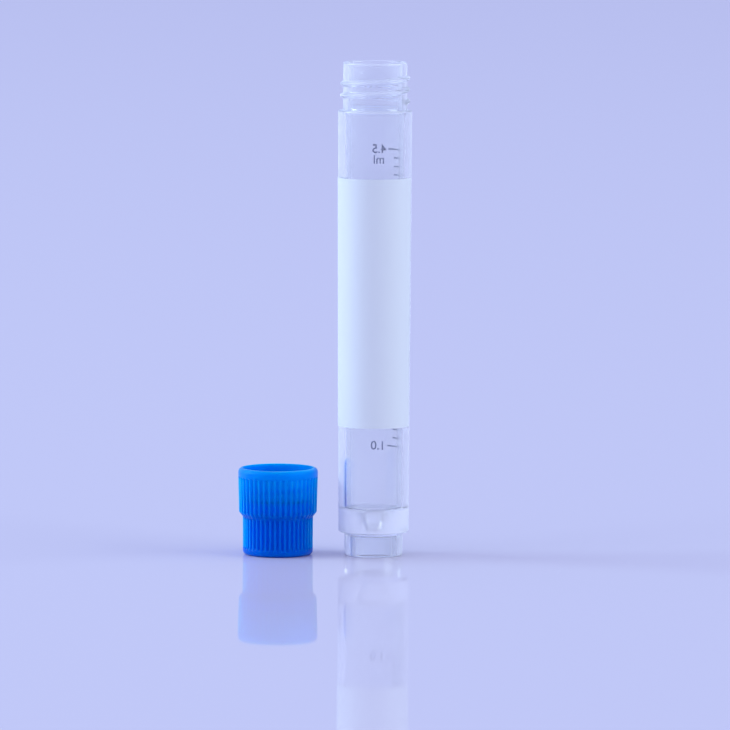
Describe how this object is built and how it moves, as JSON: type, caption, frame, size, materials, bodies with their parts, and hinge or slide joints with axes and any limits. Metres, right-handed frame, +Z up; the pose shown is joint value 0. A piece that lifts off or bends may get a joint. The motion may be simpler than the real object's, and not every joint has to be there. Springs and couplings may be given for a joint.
{
  "type": "cryovial with screw cap",
  "caption": "Tall clear self-standing storage vial with an external screw thread, a white writing panel and a ring foot; its ribbed blue stepped cap stands upside down beside it.",
  "frame": {"origin": "on the surface that tube and cap stand on, at the centre of the pair's footprint; the tube's axis is 8.29 mm to the +X side", "axes": "+Z up along the tube, +X from the cap to the tube, -Y towards the writing panel"},
  "size_m": [0.029, 0.0134, 0.0831],
  "materials": {
    "clear_plastic": "clear moulded polypropylene, polished",
    "blue_plastic": "blue moulded polypropylene, semi-gloss",
    "silicone": "soft translucent silicone",
    "white_ink": "matt white screen-printed ink",
    "dark_ink": "dark blue-grey screen-printed ink, used for the scale marks and numbers"
  },
  "bodies": {
    "tube": {"tube": "clear_plastic", "writing_panel": "white_ink"},
    "cap": {"cap": "blue_plastic", "seal_ring": "silicone"}
  },
  "joints": [
    {"name": "cap_lift", "type": "slide", "parent": "tube", "child": "cap", "axis": [0, 0, 1], "range_m": [0, 0.085]}
  ]
}
